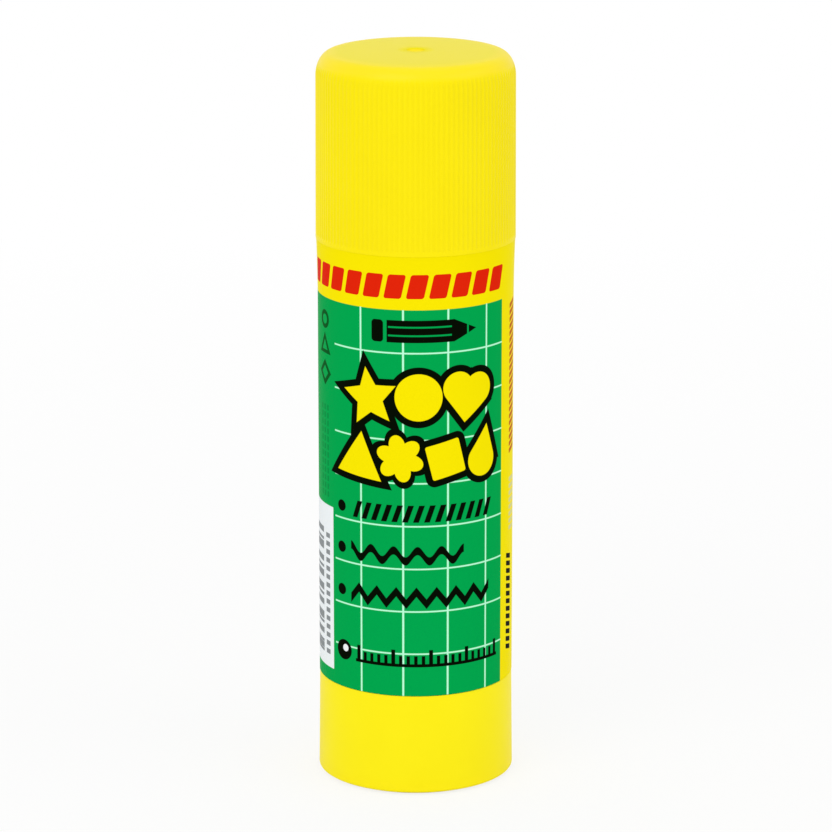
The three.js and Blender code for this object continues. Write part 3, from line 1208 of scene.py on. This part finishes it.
# A card with rows of bars up it: the start, pitch, count and width of each row.
card = {
    "left": -112,
    "right": -57.3,
    "low": 16.4,
    "high": 39.8,
    "rounding": 0.15,
    "inset": {"left": 1, "right": 3.1, "low": 1.4, "high": 2.6},
    "wide": (1.6, 2.1, 9, 0.85),
    "fine": (1.3, 1.35, 14, 0.42),
    "marks": (1.6, 1.2, 15, 0.7),
    "marksInset": 1.6,
    "marksHalf": 0.62,
}


def whiteCard(x, y):
    left, right = wrapped(card["left"]), wrapped(card["right"])
    low, high, inset = card["low"], card["high"], card["inset"]

    def row(name):
        start, *rest = card[name]
        return comb(y, low + start, *rest)

    ground = block(x, y, left, right, low, high, card["rounding"])
    area = block(x, y, left + inset["left"], right - inset["right"], low + inset["low"],
                 high - inset["high"])
    bars = row("wide").least(row("fine")).most(area)
    marks = row("marks").most(abs(x - right + card["marksInset"]) - card["marksHalf"])
    return [(ground, "white"), (bars, "grey"), (marks, "grey")]


# Small outlined marks up the left side, with rows of dashes below them, and lines on the back.
# Each mark is its shape, height, tilt, half its line and its sizes.
leftSide = {
    "azimuth": -67,
    "outlined": [
        (disc, 66.1, 0, 0.3, 1.0),
        (triangle, 62.3, 0, 0.26, 0.75),
        (block, 58.6, 45, 0.3, -1, 1, -1, 1),
    ],
    "columns": (-1.5, 0.95, 3, 0.5),
    "rows": (40.8, 1.12, 12, 0.8),
    "backAzimuth": -141,
    "backRows": (36.5, 1.5, 9, 0.4),
    "backHalf": 4.2,
}


def sideMarks(x, y):
    middle = wrapped(leftSide["azimuth"])
    shapes = joined(abs(shape(*tilted(x - middle, y - height, degrees), *sizes)) - half
                    for shape, height, degrees, half, *sizes in leftSide["outlined"])
    start, *row = leftSide["columns"]
    dashes = comb(x, middle + start, *row).most(comb(y, *leftSide["rows"]))
    lines = comb(y, *leftSide["backRows"])
    lines = lines.most(abs(x - wrapped(leftSide["backAzimuth"])) - leftSide["backHalf"])
    return [(shapes, "deepGreen"), (dashes, "dimGreen"), (lines, "mint")]


# Rows of marks up the yellow strip on the right, by ink: the azimuth, the slant and half the width
# of a row, and its start, pitch, count and bar.
strip = {
    "rust": (77.5, -0.25, 1.25, 46.8, 0.98, 22, 0.68),
    "pale": (77.5, 0, 1.15, 35.4, 1.0, 8, 0.62),
    "black": (72.3, 0.25, 0.95, 18.2, 1.1, 13, 0.72),
}
stripRounding = 0.15


def stripMarks(x, y):
    layers = []
    for ink, (azimuth, slant, half, *row) in strip.items():
        place = x - wrapped(azimuth)
        marks = corner(comb(y + place * slant, *row), abs(place) - half, stripRounding)
        layers.append((marks, ink))
    return layers


def printed(graph, x, y):
    color = inks["yellow"]
    for draw in (panels, redBand, pencilMark, cutOut, noteLines, bottomRule, whiteCard, sideMarks,
                 stripMarks):
        for shape, ink in draw(x, y):
            color = graph.mix(paint(shape), color, inks[ink])
    return color


filmLook = {
    "roughness": 0.3,
    "skinRoughness": 0.06,
    "skinDepth": 0.01,
    "skinScale": 1.4,
    "skinStretch": (1, 1, 0.4),
}


def filmMaterial(look, low, high):
    material, graph = newMaterial("printedFilm")
    wrap = graph.add("ShaderNodeUVMap", {"uv_map": "wrap"})
    u = graph.add("ShaderNodeSeparateXYZ", {}, {"Vector": wrap})
    x = (u - 0.5) * (2 * math.pi * filmRadius)
    y = graph.more(u, "Y") * (high - low) + low
    place = graph.stretched(placeInMm(graph), look["skinStretch"])
    skin = graph.noise(place, look["skinScale"], 3)
    return surfaceOf(material, graph, skin * look["skinDepth"], {
        "Base Color": printed(graph, x, y), "IOR": 1.5, "Specular IOR Level": 0.004,
        "Roughness": look["roughness"] + skin * look["skinRoughness"],
    })


# Room

roomLook = {
    "light": 0.78,
    "floorRadius": 1500,
    "floorSides": 96,
    "floorTone": 0.9,
    "glow": 0.8,  # how much of the floor that the camera sees near the stick is plain white
    "fadeFrom": 90,
    "fadeReach": 260,
}


def makeRoom(look):
    scene.world = bpy.data.worlds.new("paleRoom")
    graph = emptied(scene.world)
    path = graph.add("ShaderNodeLightPath", {}, {}, "Is Camera Ray")
    seen = path.most(graph.more(path, "Is Glossy Ray"))
    seen = seen.most(graph.more(path, "Is Transmission Ray"))
    plain, white = (
        graph.add("ShaderNodeBackground", {}, {"Color": (1, 1, 1, 1), "Strength": strength})
        for strength in (look["light"], 1))
    both = graph.add("ShaderNodeMixShader", {}, {0: seen, 1: plain, 2: white})
    graph.add("ShaderNodeOutputWorld", {}, {"Surface": both})


def makeFloor(look):
    floor = turned("floor", [(0, 0), (look["floorRadius"], 0)], look["floorSides"])
    material, graph = newMaterial("paleFloor")
    path = graph.add("ShaderNodeLightPath", {}, {}, "Is Camera Ray")
    radius = graph.split(placeInMm(graph))[-1]
    far = ((radius - look["fadeFrom"]) / look["fadeReach"]).clamped()
    tone = look["floorTone"]
    lit = graph.add("ShaderNodeBsdfDiffuse", {}, {"Color": (tone, tone, tone, 1)})
    white = graph.add("ShaderNodeEmission", {}, {"Color": (1, 1, 1, 1), "Strength": 1})
    share = path * (look["glow"] + far * (1 - look["glow"]))
    both = graph.add("ShaderNodeMixShader", {}, {0: share, 1: lit, 2: white})
    graph.add("ShaderNodeOutputMaterial", {}, {"Surface": both})
    floor.data.materials.append(material)


# Places and sizes in metres.
lamps = {
    "softFront": {"place": (-0.45, -0.75, 0.75), "size": 0.8, "watts": 3.2},
    "softRight": {"place": (0.80, -0.35, 0.55), "size": 0.7, "watts": 1.3},
    "softAbove": {"place": (0.05, 0.25, 0.95), "size": 0.6, "watts": 0.5},
}
lampAim = Vector((0, 0, 0.05))


def makeLamps():
    for name, about in lamps.items():
        light = bpy.data.lights.new(name, "AREA")
        light.size = about["size"]
        light.energy = about["watts"]
        lamp = placed(name, light)
        lamp.location = about["place"]
        lamp.rotation_euler = (lampAim - lamp.location).to_track_quat("-Z", "Y").to_euler()


# The photograph's viewing angle: the camera looks along +Y and down a little.
cameraSizes = {
    "distance": 609.3,
    "elevation": 14.84,
    "aside": 0.04,
    "aimHeight": 50.9,
    "lens": 189.9,
    "sensor": 36,
    "nearest": 50,
}


def makeCamera(size):
    data = bpy.data.cameras.new("camera")
    data.lens = size["lens"]
    data.sensor_width = size["sensor"]
    data.clip_start = size["nearest"] * mm
    scene.camera = placed("camera", data)
    tilt = math.radians(size["elevation"])
    height = size["aimHeight"] + size["distance"] * math.sin(tilt)
    scene.camera.location = (size["aside"] * mm, -size["distance"] * mm * math.cos(tilt),
                             height * mm)
    scene.camera.rotation_euler = (math.pi / 2 - tilt, 0, 0)


scene.view_settings.view_transform = "Standard"
makeCamera(cameraSizes)
makeRoom(roomLook)
makeFloor(roomLook)
makeLamps()
print("room, lamps and camera ready")

dressed = [
    (makeCap(capSizes), "cap", "cap", "yellow_plastic"),
    (makeBarrel(barrelSizes), "barrel", "barrel", "yellow_plastic"),
    (makeFilm(filmSizes), "label", "barrel", "printed_film"),
    (makeBase(baseSizes), "turning_base", "turning_base", "yellow_plastic"),
    (makeScrew(screwSizes), "screw_spindle", "turning_base", "white_plastic"),
    (makeCarrier(carrierSizes), "glue_carrier", "glue_carrier", "white_plastic"),
    (makeGlue(glueSizes), "glue_stick", "glue_carrier", "glue"),
]
for piece, node, body, slot in dressed:
    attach(piece, body)
    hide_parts(node)
    print(piece.name, "stands for", node, "with", len(piece.data.polygons), "faces")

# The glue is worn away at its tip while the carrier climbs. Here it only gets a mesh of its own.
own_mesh(dressed[-1][0])
